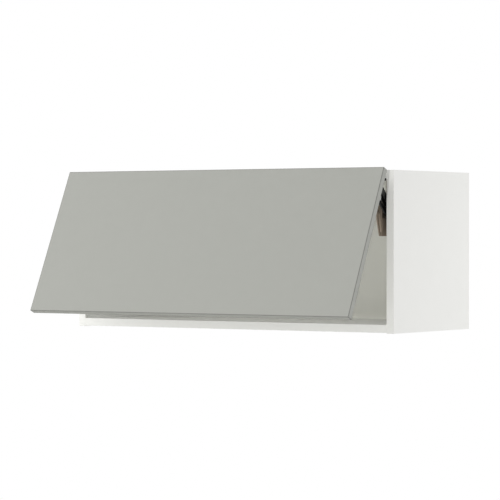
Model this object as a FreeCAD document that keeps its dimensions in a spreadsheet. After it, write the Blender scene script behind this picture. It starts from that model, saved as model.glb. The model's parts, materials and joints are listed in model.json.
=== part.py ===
import FreeCAD, Part
import math
import os

import Sketcher

# Horizontal wall cabinet with one lift-up slab door, modelled with the door part-way open.
# Frame: X across, +Y to the wall, +Z up. The origin is midway between the two hanger holes,
# on the plane of the wall. Lengths are millimetres and angles degrees.

SIZES = {
    # Carcass
    "cabinet_width": 914.0,
    "cabinet_height": 381.0,
    "cabinet_depth": 366.0,
    "panel_thickness": 19.0,
    "edge_strip": 0.8,
    "bottom_rise": 1.5,
    "back_thickness": 3.2,
    "back_inset": 20.0,
    "groove_depth": 8.0,
    "groove_play": 0.2,
    # Knock-down fittings
    "fitting_front": 52.0,
    "fitting_rear": 72.0,
    "cam_radius": 7.5,
    "cam_depth": 12.5,
    "cam_inset": 34.0,
    "cam_slot": 2.0,
    "bolt_radius": 3.5,
    "bolt_grip": 11.0,
    "dowel_radius": 4.0,
    "dowel_grip": 10.0,
    "dowel_length": 32.0,
    "dowel_offset": 32.0,
    "fit_clearance": 0.05,
    # Wall hangers
    "hanger_drop": 47.0,
    "hanger_width": 60.0,
    "hanger_reach": 28.0,
    "hanger_sheet": 2.5,
    "hanger_flange": 18.0,
    "hanger_hole_radius": 4.5,
    "hanger_hole_inset": 30.0,
    "hanger_screw_spread": 15.0,
    "hanger_clearance": 1.0,
    "access_radius": 12.0,
    "cap_rim": 3.0,
    "cap_thickness": 1.6,
    # Door
    "door_thickness": 16.0,
    "door_gap": 2.0,
    "door_reveal": 1.6,
    "door_arris": 0.8,
    "rest_angle": 25.0,
    "buffer_radius": 4.5,
    "buffer_thickness": 1.7,
    "buffer_height": 24.0,
    "stop_setback": 10.0,
    "stop_inset": 9.5,
    "stop_radius": 2.5,
    "stop_drop": 6.0,
    "stop_stem": 6.0,
    # Lift mechanism: pivots
    "lever_setback": 68.0,
    "lever_drop": 35.5,
    "lever_length": 70.5,
    "lever_lean": 7.3,
    "link_spacing": 21.0,
    "arm_length": 86.1,
    "arm_lean": 36.7,
    "arm_ratio": 0.416,
    "swing": 90.0,
    "pivot_radius": 4.0,
    "pin_radius": 3.0,
    "pin_clearance": 0.05,
    "running_gap": 0.6,
    # Lift mechanism: pieces
    "plate_thickness": 2.5,
    "plate_front": 10.0,
    "plate_depth": 94.0,
    "plate_height": 120.0,
    "plate_rise": 12.0,
    "plate_screw_inset": 8.0,
    "lever_thickness": 3.5,
    "lever_radius": 8.0,
    "link_thickness": 3.5,
    "link_radius": 4.6,
    "arm_cheek": 2.0,
    "arm_radius": 7.0,
    "arm_tail": 25.0,
    "tail_radius": 6.0,
    "web_start": 36.0,
    "web_length": 28.0,
    "roller_radius": 4.0,
    "roller_pin_radius": 2.5,
    "roller_play": 0.4,
    "housing_front": 6.0,
    "housing_thickness": 17.5,
    "housing_wall": 2.0,
    "housing_drop": 154.0,
    "housing_nose": 71.0,
    "brow_drop": 24.0,
    "housing_chamfer": 20.0,
    "housing_taper": 7.0,
    "taper_height": 39.0,
    "housing_round": 6.0,
    "foot_setback": 26.0,
    "foot_depth": 16.0,
    "foot_height": 6.0,
    "pillar_depth": 6.0,
    "pillar_rise": 40.0,
    "adjuster_radius": 4.0,
    "adjuster_length": 22.0,
    "adjuster_socket": 2.0,
    "adjuster_rise": 58.0,
    "spring_wire": 1.2,
    "spring_turns": 4.0,
    "spring_play": 0.3,
    "shoulder_radius": 6.5,
    # Door bracket
    "bracket_sheet": 2.5,
    "bracket_width": 40.0,
    "bracket_ear_radius": 8.0,
    "bracket_screw_inset": 12.0,
    # Screws
    "screw_radius": 2.0,
    "screw_head_radius": 4.0,
    "screw_head": 2.0,
    "screw_length": 13.0,
}

# Places worked out from the sizes. The side of the mechanism is counted inwards from the inner
# face of the left side panel, and each pivot is given at the modelled door angle.
LAYOUT = [
    ("half_width", "dims.cabinet_width / 2"),
    ("inner_half", "half_width - dims.panel_thickness"),
    ("left_x", "-inner_half"),
    ("top_z", "dims.hanger_drop"),
    ("under_top", "top_z - dims.panel_thickness"),
    ("bottom_z", "top_z - dims.cabinet_height"),
    ("floor_under", "bottom_z + dims.bottom_rise"),
    ("floor_z", "floor_under + dims.panel_thickness"),
    ("front_y", "-dims.cabinet_depth"),
    ("panel_depth", "dims.cabinet_depth - dims.edge_strip"),
    ("back_front_y", "-dims.back_inset - dims.back_thickness"),
    ("hanger_x", "left_x + dims.hanger_hole_inset"),
    # Layers of the lift mechanism
    ("arm_near", "dims.plate_thickness + dims.running_gap"),
    ("lever_near", "arm_near + dims.arm_cheek + dims.running_gap"),
    ("link_near", "lever_near + dims.lever_thickness + dims.running_gap"),
    ("cheek_far", "link_near + dims.link_thickness + dims.running_gap"),
    ("arm_width", "cheek_far + dims.arm_cheek - arm_near"),
    ("housing_near", "cheek_far + dims.arm_cheek + dims.running_gap"),
    ("housing_far", "housing_near + dims.housing_thickness"),
    # Turns from the closed door
    ("lever_turn", "dims.rest_angle - dims.lever_lean"),
    ("arm_turn", "dims.arm_lean + dims.arm_ratio * dims.rest_angle"),
    # Pivots at rest
    ("lever_y", "front_y + dims.lever_setback"),
    ("lever_z", "top_z - dims.lever_drop"),
    ("lever_reach", "dims.lever_length + dims.link_spacing"),
    ("elbow_y", "lever_y - dims.lever_length * sin(lever_turn * 1 deg)"),
    ("elbow_z", "lever_z - dims.lever_length * cos(lever_turn * 1 deg)"),
    ("link_y", "lever_y - lever_reach * sin(lever_turn * 1 deg)"),
    ("link_z", "lever_z - lever_reach * cos(lever_turn * 1 deg)"),
    ("wrist_y", "elbow_y - dims.arm_length * sin(arm_turn * 1 deg)"),
    ("wrist_z", "elbow_z + dims.arm_length * cos(arm_turn * 1 deg)"),
    # Pins in the door bracket, behind the door's back and below its top edge
    ("closed_elbow_y", "lever_y + dims.lever_length * sin(dims.lever_lean * 1 deg)"),
    ("closed_elbow_z", "lever_z - dims.lever_length * cos(dims.lever_lean * 1 deg)"),
    ("closed_wrist_y", "closed_elbow_y - dims.arm_length * sin(dims.arm_lean * 1 deg)"),
    ("closed_wrist_z", "closed_elbow_z + dims.arm_length * cos(dims.arm_lean * 1 deg)"),
    ("pin_depth", "closed_wrist_y - front_y + dims.door_gap"),
    ("pin_drop", "top_z - dims.door_reveal - closed_wrist_z"),
    ("link_pin_depth", "pin_depth + dims.link_spacing * sin(dims.lever_lean * 1 deg)"),
    ("link_pin_drop", "pin_drop + dims.link_spacing * cos(dims.lever_lean * 1 deg)"),
    # Door: its frame is at the middle of its back upper edge
    ("door_width", "dims.cabinet_width - 2 * dims.door_reveal"),
    ("door_height", "dims.cabinet_height - 2 * dims.door_reveal"),
    ("door_cos", "cos(dims.rest_angle * 1 deg)"),
    ("door_sin", "sin(dims.rest_angle * 1 deg)"),
    ("door_y", "wrist_y - pin_depth * door_cos + pin_drop * door_sin"),
    ("door_z", "wrist_z + pin_depth * door_sin + pin_drop * door_cos"),
    # Housing and base plate
    ("plate_y", "front_y + dims.plate_front"),
    ("plate_top", "lever_z + dims.plate_rise"),
    ("plate_bottom", "plate_top - dims.plate_height"),
    ("plate_rear", "plate_y + dims.plate_depth"),
    ("housing_y", "front_y + dims.housing_front"),
    ("housing_bottom", "top_z - dims.housing_drop"),
    ("nose_top", "housing_bottom + dims.housing_nose"),
    ("spring_radius", "dims.shoulder_radius + dims.spring_play + 2 * dims.spring_wire"),
    ("brow_y", "lever_y - spring_radius - dims.running_gap - dims.housing_wall"),
    ("brow_z", "lever_z - dims.brow_drop"),
    ("adjuster_x", "left_x + (housing_near + housing_far) / 2"),
    ("adjuster_z", "housing_bottom + dims.adjuster_rise"),
    ("bracket_top", "-(pin_drop - dims.bracket_ear_radius)"),
    ("bracket_bottom", "-(link_pin_drop + dims.bracket_ear_radius)"),
    ("bracket_screw_x", "left_x + lever_near + dims.bracket_width - dims.bracket_screw_inset"),
]

doc = FreeCAD.newDocument("wall_cabinet")
dims = doc.addObject("Spreadsheet::Sheet", "dims")
for row, (alias, value) in enumerate(SIZES.items(), 1):
    dims.set(f"A{row}", alias)
    dims.set(f"B{row}", str(value))
    dims.setAlias(f"B{row}", alias)
layout = doc.addObject("Spreadsheet::Sheet", "layout")
for row, (alias, formula) in enumerate(LAYOUT, 1):
    layout.set(f"A{row}", alias)
    layout.set(f"B{row}", "=" + formula)
    layout.setAlias(f"B{row}", alias)
doc.recompute()

V = FreeCAD.Vector
TURN_TO = {
    "x": FreeCAD.Rotation(V(0, 1, 0), 90),
    "y": FreeCAD.Rotation(V(1, 0, 0), -90),
    "z": FreeCAD.Rotation(),
}
nodes = []


def keep(obj, label):
    """Make an object a piece of the cabinet under its own name."""
    obj.Label = label
    nodes.append(obj)
    return obj


def bind(obj, **sizes):
    for name, formula in sizes.items():
        obj.setExpression(name, formula)


def put(obj, x="0", y="0", z="0"):
    for axis, formula in zip("xyz", (x, y, z)):
        obj.setExpression("Placement.Base." + axis, formula)


def turn(obj, axis, angle):
    """Turn about X; the angle is a formula in degrees that stays above zero."""
    obj.Placement = FreeCAD.Placement(V(), FreeCAD.Rotation(V(axis, 0, 0), 1))
    obj.setExpression("Placement.Rotation.Angle", f"({angle}) * 1 deg")


def box(size, at):
    obj = doc.addObject("Part::Box", "block")
    bind(obj, Length=size[0], Width=size[1], Height=size[2])
    put(obj, *at)
    return obj


def rod(radius, length, at, along):
    obj = doc.addObject("Part::Cylinder", "rod")
    obj.Placement = FreeCAD.Placement(V(), TURN_TO[along])
    bind(obj, Radius=radius, Height=length)
    put(obj, *at)
    return obj


def join(pieces):
    obj = doc.addObject("Part::MultiFuse", "joined")
    obj.Shapes = pieces
    return obj


def group(pieces):
    obj = doc.addObject("Part::Compound", "group")
    obj.Links = pieces
    return obj


def cut(base, tools):
    obj = doc.addObject("Part::Cut", "cut")
    obj.Base = base
    obj.Tool = join(tools) if len(tools) > 1 else tools[0]
    return obj


def mirror(source):
    """The same piece on the other side of the cabinet."""
    obj = doc.addObject("Part::Mirroring", "mirrored")
    obj.Source = source
    obj.Base = V(0, 0, 0)
    obj.Normal = V(1, 0, 0)
    return obj


def keep_pair(obj, name):
    keep(obj, "left_" + name)
    keep(mirror(obj), "right_" + name)


def new_body(label):
    body = doc.addObject("PartDesign::Body", "body")
    body.Label = label
    return body


def sketch_on(body, plane, offset=None):
    sketch = body.newObject("Sketcher::SketchObject", "sketch")
    origin = [f for f in body.Origin.OriginFeatures if f.Role == plane][0]
    sketch.AttachmentSupport = [(origin, "")]
    sketch.MapMode = "FlatFace"
    if offset:
        sketch.setExpression("AttachmentOffset.Base.z", offset)
    return sketch


def fix(sketch, index, point, place):
    """Hold a sketch point at a place given by two formulas."""
    for kind, formula in zip(("DistanceX", "DistanceY"), place):
        number = sketch.addConstraint(Sketcher.Constraint(kind, -1, 1, index, point, 1.0))
        sketch.setExpression(f"Constraints[{number}]", formula)


def value_of(formula):
    probe = doc.addObject("App::FeaturePython", "probe")
    probe.addProperty("App::PropertyFloat", "Value")
    probe.setExpression("Value", formula)
    probe.recompute()
    result = probe.Value
    doc.removeObject(probe.Name)
    return result


def polygon(sketch, corners):
    """Closed outline through corners given as pairs of formulas."""
    points = [V(value_of(a), value_of(b), 0) for a, b in corners]
    count = len(points)
    first = len(sketch.Geometry)
    for i in range(count):
        sketch.addGeometry(Part.LineSegment(points[i], points[(i + 1) % count]), False)
    for i in range(count):
        end, start = first + i, first + (i + 1) % count
        sketch.addConstraint(Sketcher.Constraint("Coincident", end, 2, start, 1))
    for i in range(count):
        fix(sketch, first + i, 1, corners[i])


def circle(sketch, centre, radius):
    middle = V(value_of(centre[0]), value_of(centre[1]), 0)
    index = sketch.addGeometry(Part.Circle(middle, V(0, 0, 1), value_of(radius)), False)
    fix(sketch, index, 3, centre)
    number = sketch.addConstraint(Sketcher.Constraint("Radius", index, value_of(radius)))
    sketch.setExpression(f"Constraints[{number}]", radius)


def pad(body, sketch, length, reverse=False):
    feature = body.newObject("PartDesign::Pad", "pad")
    feature.Profile = sketch
    feature.Reversed = reverse
    feature.setExpression("Length", length)
    sketch.Visibility = False
    return feature


def pocket(body, sketch, depth=None, reverse=False):
    """Cut a profile; with no depth it goes right through."""
    before = body.Tip.Shape.Volume
    feature = body.newObject("PartDesign::Pocket", "pocket")
    feature.Profile = sketch
    feature.Reversed = reverse
    if depth:
        feature.setExpression("Length", depth)
    else:
        feature.Type = "ThroughAll"
        feature.Midplane = True
    doc.recompute()
    if feature.Shape.Volume >= before:
        raise RuntimeError(f"{body.Label}: a pocket cuts nothing")
    return feature


def bar(label, ends, radii, thickness, holes):
    """Flat bar along local Z with round ends and drilled pin holes."""
    body = new_body(label)
    low, high = ends
    wide = radii[0]
    outline = sketch_on(body, "YZ_Plane")
    polygon(outline, [(f"-{wide}", low), (wide, low), (wide, high), (f"-{wide}", high)])
    pad(body, outline, thickness)
    for place, radius in zip(ends, radii):
        end = sketch_on(body, "YZ_Plane")
        circle(end, ("0", place), radius)
        pad(body, end, thickness)
    doc.recompute()
    bores = sketch_on(body, "YZ_Plane")
    for place, radius in holes:
        circle(bores, ("0", place), radius)
    pocket(body, bores)
    return body


def screw(at, along):
    """Wood screw whose head's outer face is at the given place; it points along +axis or -axis."""
    axis, sign = along[-1], -1 if along[0] == "-" else 1
    start = dict(zip("xyz", at))
    stem_at, head_at = dict(start), dict(start)
    if sign > 0:
        stem_at[axis] = f"{start[axis]} + dims.screw_head"
    else:
        stem_at[axis] = f"{start[axis]} - dims.screw_head - dims.screw_length"
        head_at[axis] = f"{start[axis]} - dims.screw_head"
    stem = rod("dims.screw_radius", "dims.screw_length", list(stem_at.values()), axis)
    top = rod("dims.screw_head_radius", "dims.screw_head", list(head_at.values()), axis)
    return join([stem, top])


PIN_HOLE = "dims.pin_radius + dims.pin_clearance"
PIVOT_HOLE = "dims.pivot_radius + dims.pin_clearance"
SCREW_HOLE = "dims.screw_radius + dims.fit_clearance"
FIT = "dims.fit_clearance"

# Places shared by drilled holes and what goes in them
FITTING_Y = [
    "layout.front_y + dims.fitting_front",
    "-dims.fitting_rear",
]
DOWEL_Y = [
    "layout.front_y + dims.fitting_front + dims.dowel_offset",
    "-dims.fitting_rear - dims.dowel_offset",
]
LEVEL_Z = [
    "layout.top_z - dims.panel_thickness / 2",
    "layout.floor_under + dims.panel_thickness / 2",
]
PLATE_SCREWS = [
    ("layout.plate_y + dims.plate_screw_inset", "layout.plate_bottom + dims.plate_screw_inset"),
    ("layout.plate_y + dims.plate_screw_inset", "layout.plate_top - dims.plate_screw_inset"),
    ("layout.plate_rear - dims.pillar_depth - dims.plate_screw_inset",
     "layout.plate_top - dims.plate_screw_inset"),
]
HANGER_SCREW_Y = "-dims.hanger_flange / 2 - dims.hanger_sheet / 2"
HANGER_SCREW_Z = ["dims.hanger_screw_spread", "-dims.hanger_screw_spread"]
BRACKET_SCREW_Z = [
    "layout.bracket_top - dims.bracket_screw_inset",
    "layout.bracket_bottom + dims.bracket_screw_inset",
]

# Back panel, held in grooves in the four panels round it
BACK_GROOVE = "dims.back_thickness + 2 * dims.groove_play"
GROOVE_Y = "layout.back_front_y - dims.groove_play"
BACK_REACH = "dims.groove_depth - dims.groove_play"


def carcass_joint_holes(side):
    """Holes for cam bolts and dowels where the top and bottom meet one side panel."""
    inner = "layout.left_x" if side < 0 else "layout.inner_half"
    bolt_x = f"{inner} - dims.bolt_grip" if side < 0 else f"{inner} - dims.cam_inset"
    dowel_x = f"{inner} - dims.dowel_grip"
    if side > 0:
        dowel_x = f"{inner} - dims.dowel_length + dims.dowel_grip"
    holes = []
    for z in LEVEL_Z:
        for y in FITTING_Y:
            length = "dims.bolt_grip + dims.cam_inset"
            holes.append(rod(f"dims.bolt_radius + {FIT}", length, (bolt_x, y, z), "x"))
        for y in DOWEL_Y:
            start = f"{dowel_x} - {FIT}"
            length = f"dims.dowel_length + 2 * {FIT}"
            holes.append(rod(f"dims.dowel_radius + {FIT}", length, (start, y, z), "x"))
    return holes


def cam_places():
    """Cams sit in the upper face of the top and in the underside of the bottom."""
    top_seat = "layout.top_z - dims.cam_depth"
    for x in ("layout.left_x + dims.cam_inset", "layout.inner_half - dims.cam_inset"):
        for y in FITTING_Y:
            yield (x, y, top_seat)
            yield (x, y, "layout.floor_under")


# Side panels
side = box(
    ("dims.panel_thickness", "layout.panel_depth", "dims.cabinet_height"),
    ("-layout.half_width", "layout.front_y + dims.edge_strip", "layout.bottom_z"),
)
side_groove = box(
    ("dims.groove_depth", BACK_GROOVE, "dims.cabinet_height"),
    ("layout.left_x - dims.groove_depth", GROOVE_Y, "layout.bottom_z"),
)
side_tools = [side_groove] + carcass_joint_holes(-1)
for y, z in PLATE_SCREWS:
    at = ("layout.left_x - dims.screw_length", f"{y}", f"{z}")
    side_tools.append(rod(SCREW_HOLE, "dims.screw_length + dims.plate_thickness", at, "x"))
for z in HANGER_SCREW_Z:
    at = ("layout.left_x - dims.screw_length", HANGER_SCREW_Y, z)
    side_tools.append(rod(SCREW_HOLE, "dims.screw_length + dims.hanger_sheet", at, "x"))
left_side = cut(side, side_tools)
keep_pair(left_side, "side_panel")

# Top and bottom panels
cams = list(cam_places())
cam_holes = [rod(f"dims.cam_radius + {FIT}", "dims.cam_depth", at, "z") for at in cams]
stop_x = "layout.inner_half - dims.stop_inset"
STOPS = [f"-({stop_x})", stop_x]
STOP_Y = "layout.front_y + dims.stop_setback"
stop_holes = [
    rod(f"dims.stop_radius / 2 + {FIT}", f"dims.stop_stem + {FIT}", (x, STOP_Y, "layout.under_top"), "z")
    for x in STOPS
]
top = box(
    ("2 * layout.inner_half", "layout.panel_depth", "dims.panel_thickness"),
    ("layout.left_x", "layout.front_y + dims.edge_strip", "layout.under_top"),
)
top_groove = box(
    ("2 * layout.inner_half", BACK_GROOVE, "dims.groove_depth"),
    ("layout.left_x", GROOVE_Y, "layout.under_top"),
)
level_holes = carcass_joint_holes(-1) + carcass_joint_holes(1)
keep(cut(top, [top_groove] + level_holes + cam_holes + stop_holes), "top_panel")

bottom = box(
    ("2 * layout.inner_half", "layout.panel_depth", "dims.panel_thickness"),
    ("layout.left_x", "layout.front_y + dims.edge_strip", "layout.floor_under"),
)
bottom_groove = box(
    ("2 * layout.inner_half", BACK_GROOVE, "dims.groove_depth"),
    ("layout.left_x", GROOVE_Y, "layout.floor_z - dims.groove_depth"),
)
bottom_tools = [bottom_groove] + carcass_joint_holes(-1) + carcass_joint_holes(1)
bottom_tools += [rod(f"dims.cam_radius + {FIT}", "dims.cam_depth", at, "z") for at in cams]
keep(cut(bottom, bottom_tools), "bottom_panel")

# Back panel with an access hole in line with each hanger
back = box(
    (f"2 * (layout.inner_half + {BACK_REACH})", "dims.back_thickness",
     f"layout.under_top - layout.floor_z + 2 * ({BACK_REACH})"),
    (f"layout.left_x - ({BACK_REACH})", "layout.back_front_y", f"layout.floor_z - ({BACK_REACH})"),
)
ACCESS_X = ["layout.hanger_x", "-layout.hanger_x"]
access = [
    rod("dims.access_radius", "dims.back_thickness", (x, "layout.back_front_y", "0"), "y")
    for x in ACCESS_X
]
keep(cut(back, access), "back_panel")

caps = []
for x in ACCESS_X:
    plug_at = (x, "layout.back_front_y", "0")
    rim_at = (x, "layout.back_front_y - dims.cap_thickness", "0")
    plug = rod(f"dims.access_radius - {FIT}", "dims.back_thickness", plug_at, "y")
    rim = rod("dims.access_radius + dims.cap_rim", "dims.cap_thickness", rim_at, "y")
    caps.append(join([plug, rim]))
keep(group(caps), "access_caps")

# Front edge strips
side_strip = box(
    ("dims.panel_thickness", "dims.edge_strip", "dims.cabinet_height"),
    ("-layout.half_width", "layout.front_y", "layout.bottom_z"),
)
keep_pair(side_strip, "side_edge_strip")
for name, z in (("top", "layout.under_top"), ("bottom", "layout.floor_under")):
    strip = box(
        ("2 * layout.inner_half", "dims.edge_strip", "dims.panel_thickness"),
        ("layout.left_x", "layout.front_y", z),
    )
    keep(strip, f"{name}_edge_strip")

# Cam locks with a driver slot, cam bolts and dowels
locks = []
for x, y, z in cams:
    lock = rod("dims.cam_radius", "dims.cam_depth", (x, y, z), "z")
    outer = f"{z} + dims.cam_depth - dims.cam_slot" if z != "layout.floor_under" else z
    slot = box(
        ("2 * dims.cam_radius", "dims.cam_slot", "dims.cam_slot"),
        (f"{x} - dims.cam_radius", f"{y} - dims.cam_slot / 2", outer),
    )
    locks.append(cut(lock, [slot]))
keep(group(locks), "cam_locks")

bolts, dowels = [], []
for z in LEVEL_Z:
    for y in FITTING_Y:
        length = f"dims.bolt_grip + dims.cam_inset - dims.cam_radius - {FIT}"
        at = ("layout.left_x - dims.bolt_grip", y, z)
        bolts.append(rod("dims.bolt_radius", length, at, "x"))
    for y in DOWEL_Y:
        at = ("layout.left_x - dims.dowel_grip", y, z)
        dowels.append(rod("dims.dowel_radius", "dims.dowel_length", at, "x"))
keep(group(bolts + [mirror(piece) for piece in bolts]), "cam_bolts")
keep(group(dowels + [mirror(piece) for piece in dowels]), "wooden_dowels")

# Hangers behind the back panel: a plate on the wall plane with a flange on the side panel
hanger = new_body("hanger")
face = sketch_on(hanger, "XZ_Plane")
hanger_top = "layout.under_top - dims.hanger_clearance"
hanger_right = "layout.left_x + dims.hanger_width"
polygon(face, [
    ("layout.left_x", "-dims.hanger_reach"),
    (hanger_right, "-dims.hanger_reach"),
    (hanger_right, hanger_top),
    ("layout.left_x", hanger_top),
])
pad(hanger, face, "dims.hanger_sheet")
flange = sketch_on(hanger, "XZ_Plane")
flange_x = "layout.left_x + dims.hanger_sheet"
polygon(flange, [
    ("layout.left_x", "-dims.hanger_reach"),
    (flange_x, "-dims.hanger_reach"),
    (flange_x, hanger_top),
    ("layout.left_x", hanger_top),
])
pad(hanger, flange, "dims.hanger_flange")
doc.recompute()
wall_hole = sketch_on(hanger, "XZ_Plane")
circle(wall_hole, ("layout.hanger_x", "0"), "dims.hanger_hole_radius")
pocket(hanger, wall_hole)
flange_holes = sketch_on(hanger, "YZ_Plane", "layout.left_x")
for z in HANGER_SCREW_Z:
    circle(flange_holes, (HANGER_SCREW_Y, z), SCREW_HOLE)
pocket(hanger, flange_holes, "dims.hanger_sheet", reverse=True)
keep_pair(hanger, "wall_hanger")

hanger_screws = [
    screw(("layout.left_x + dims.hanger_sheet + dims.screw_head", HANGER_SCREW_Y, z), "-x")
    for z in HANGER_SCREW_Z
]
keep(group(hanger_screws + [mirror(piece) for piece in hanger_screws]), "hanger_screws")

# Stop buffers under the top panel
stops = []
for x in STOPS:
    pad_at = (x, STOP_Y, "layout.under_top - dims.stop_drop")
    nub = rod("dims.stop_radius", "dims.stop_drop", pad_at, "z")
    stem = rod("dims.stop_radius / 2", "dims.stop_stem", (x, STOP_Y, "layout.under_top"), "z")
    stops.append(join([nub, stem]))
keep(group(stops), "stop_buffers")


# Lift mechanism
def at_layer(layer):
    return f"layout.left_x + {layer}"


def place_at_door(obj):
    turn(obj, -1, "dims.rest_angle")
    put(obj, "0", "layout.door_y", "layout.door_z")


def roller_place(angle):
    """Centre of the cam roller with the door at one angle."""
    lean = math.radians(dims.lever_lean - angle)
    arm = math.radians(dims.arm_lean + dims.arm_ratio * angle)
    y = layout.lever_y + dims.lever_length * math.sin(lean) + dims.arm_tail * math.sin(arm)
    z = layout.lever_z - dims.lever_length * math.cos(lean) - dims.arm_tail * math.cos(arm)
    return V(0, y, z)


def cam_slot():
    """Slot that the roller follows from the closed to the open door, with round ends."""
    steps = 8
    radius = dims.roller_radius + dims.roller_play
    middle = [roller_place(dims.swing * i / steps) for i in range(steps + 1)]
    path = Part.BSplineCurve()
    path.interpolate(middle)
    sides = ([], [])
    for point in middle:
        along = path.tangent(path.parameter(point))[0]
        across = V(0, -along.z, along.y) * radius
        sides[0].append(point + across)
        sides[1].append(point - across)
    curves = []
    for points in sides:
        curve = Part.BSplineCurve()
        curve.interpolate(points)
        curves.append(curve)
    tip_in = middle[0] - path.tangent(path.FirstParameter)[0] * radius
    tip_out = middle[-1] + path.tangent(path.LastParameter)[0] * radius
    edges = [
        curves[0].toShape(),
        Part.Arc(sides[0][-1], tip_out, sides[1][-1]).toShape(),
        curves[1].toShape(),
        Part.Arc(sides[1][0], tip_in, sides[0][0]).toShape(),
    ]
    face = Part.Face(Part.Wire(Part.__sortEdges__(edges)))
    slot = doc.addObject("Part::Feature", "slot")
    slot.Shape = face.extrude(V(dims.plate_thickness, 0, 0))
    slot.Placement = FreeCAD.Placement(V(layout.left_x, 0, 0), FreeCAD.Rotation())
    return slot


plate = box(
    ("dims.plate_thickness", "dims.plate_depth", "dims.plate_height"),
    ("layout.left_x", "layout.plate_y", "layout.plate_bottom"),
)
plate_tools = [cam_slot()]
pivot_at = ("layout.left_x", "layout.lever_y", "layout.lever_z")
plate_tools.append(rod(PIVOT_HOLE, "dims.plate_thickness", pivot_at, "x"))
for y, z in PLATE_SCREWS:
    plate_tools.append(rod(SCREW_HOLE, "dims.plate_thickness", ("layout.left_x", y, z), "x"))
    seat = ("layout.left_x + dims.plate_thickness - dims.screw_head", y, z)
    plate_tools.append(rod(f"dims.screw_head_radius + {FIT}", "dims.screw_head", seat, "x"))
keep_pair(cut(plate, plate_tools), "lift_base_plate")

plate_screws = [
    screw(("layout.left_x + dims.plate_thickness", y, z), "-x") for y, z in PLATE_SCREWS
]
keep_pair(group(plate_screws), "base_screws")

# Pivot pin, with a shoulder inside the housing that carries the spring
pin_stop = "layout.housing_far - dims.housing_wall"
shoulder_start = "layout.housing_near + dims.running_gap"
pivot = join([
    rod("dims.pivot_radius", pin_stop, pivot_at, "x"),
    rod("dims.shoulder_radius", f"{pin_stop} - ({shoulder_start})",
        (at_layer(shoulder_start), "layout.lever_y", "layout.lever_z"), "x"),
])
keep_pair(pivot, "pivot_pin")

# Lever, drilled for the pivot and for both arms
lever = bar(
    "lever", ["0", "-layout.lever_reach"], ["dims.lever_radius", "dims.lever_radius"],
    "dims.lever_thickness",
    [("0", PIVOT_HOLE), ("-dims.lever_length", PIN_HOLE), ("-layout.lever_reach", PIN_HOLE)],
)
turn(lever, -1, "layout.lever_turn")
put(lever, at_layer("layout.lever_near"), "layout.lever_y", "layout.lever_z")
keep_pair(lever, "lift_lever")

elbow_pin = rod(
    "dims.pin_radius", "layout.arm_width",
    (at_layer("layout.arm_near"), "layout.elbow_y", "layout.elbow_z"), "x",
)
link_pin = rod(
    "dims.pin_radius", "layout.cheek_far - layout.lever_near - dims.running_gap",
    (at_layer("layout.lever_near"), "layout.link_y", "layout.link_z"), "x",
)
keep_pair(group([elbow_pin, link_pin]), "lever_pins")

# Main arm: two cheeks joined by a web, the outer one with a tail for the cam roller
arm = new_body("arm")
for layer in ("0", "layout.cheek_far - layout.arm_near"):
    cheek = sketch_on(arm, "YZ_Plane", layer)
    wide = "dims.arm_radius"
    far = "dims.arm_length"
    polygon(cheek, [(f"-{wide}", "0"), (wide, "0"), (wide, far), (f"-{wide}", far)])
    pad(arm, cheek, "dims.arm_cheek")
    if layer == "0":
        web = sketch_on(arm, "YZ_Plane")
        web_top = "dims.web_start + dims.web_length"
        web_in = "dims.arm_radius - dims.arm_cheek"
        web_low = "dims.web_start"
        polygon(web, [(web_in, web_low), (wide, web_low), (wide, web_top), (web_in, web_top)])
        pad(arm, web, "layout.arm_width")
        tail = sketch_on(arm, "YZ_Plane")
        thin = "dims.tail_radius"
        low = "-dims.arm_tail"
        polygon(tail, [(f"-{thin}", low), (thin, low), (thin, "0"), (f"-{thin}", "0")])
        pad(arm, tail, "dims.arm_cheek")
        tail_end = sketch_on(arm, "YZ_Plane")
        circle(tail_end, ("0", low), thin)
        pad(arm, tail_end, "dims.arm_cheek")
        stud = sketch_on(arm, "YZ_Plane")
        circle(stud, ("0", low), "dims.roller_pin_radius")
        pad(arm, stud, "dims.plate_thickness", reverse=True)
    for place in ("0", "dims.arm_length"):
        end = sketch_on(arm, "YZ_Plane", layer)
        circle(end, ("0", place), wide)
        pad(arm, end, "dims.arm_cheek")
doc.recompute()
arm_bores = sketch_on(arm, "YZ_Plane")
for place in ("0", "dims.arm_length"):
    circle(arm_bores, ("0", place), PIN_HOLE)
pocket(arm, arm_bores)
turn(arm, 1, "layout.arm_turn")
put(arm, at_layer("layout.arm_near"), "layout.elbow_y", "layout.elbow_z")
keep_pair(arm, "lift_arm")

roller_y = "layout.elbow_y + dims.arm_tail * sin(layout.arm_turn * 1 deg)"
roller_z = "layout.elbow_z - dims.arm_tail * cos(layout.arm_turn * 1 deg)"
roller_at = (at_layer("dims.running_gap"), roller_y, roller_z)
roller_length = "dims.plate_thickness - dims.running_gap"
roller = cut(
    rod("dims.roller_radius", roller_length, roller_at, "x"),
    [rod("dims.roller_pin_radius + dims.pin_clearance", roller_length, roller_at, "x")],
)
keep_pair(roller, "cam_roller")

# Link below the main arm and parallel to it, which keeps the door parallel to the lever
link = bar(
    "link", ["0", "dims.arm_length"], ["dims.link_radius", "dims.link_radius"], "dims.link_thickness",
    [("0", PIN_HOLE), ("dims.arm_length", PIN_HOLE)],
)
turn(link, 1, "layout.arm_turn")
put(link, at_layer("layout.link_near"), "layout.link_y", "layout.link_z")
keep_pair(link, "lift_link")

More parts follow.
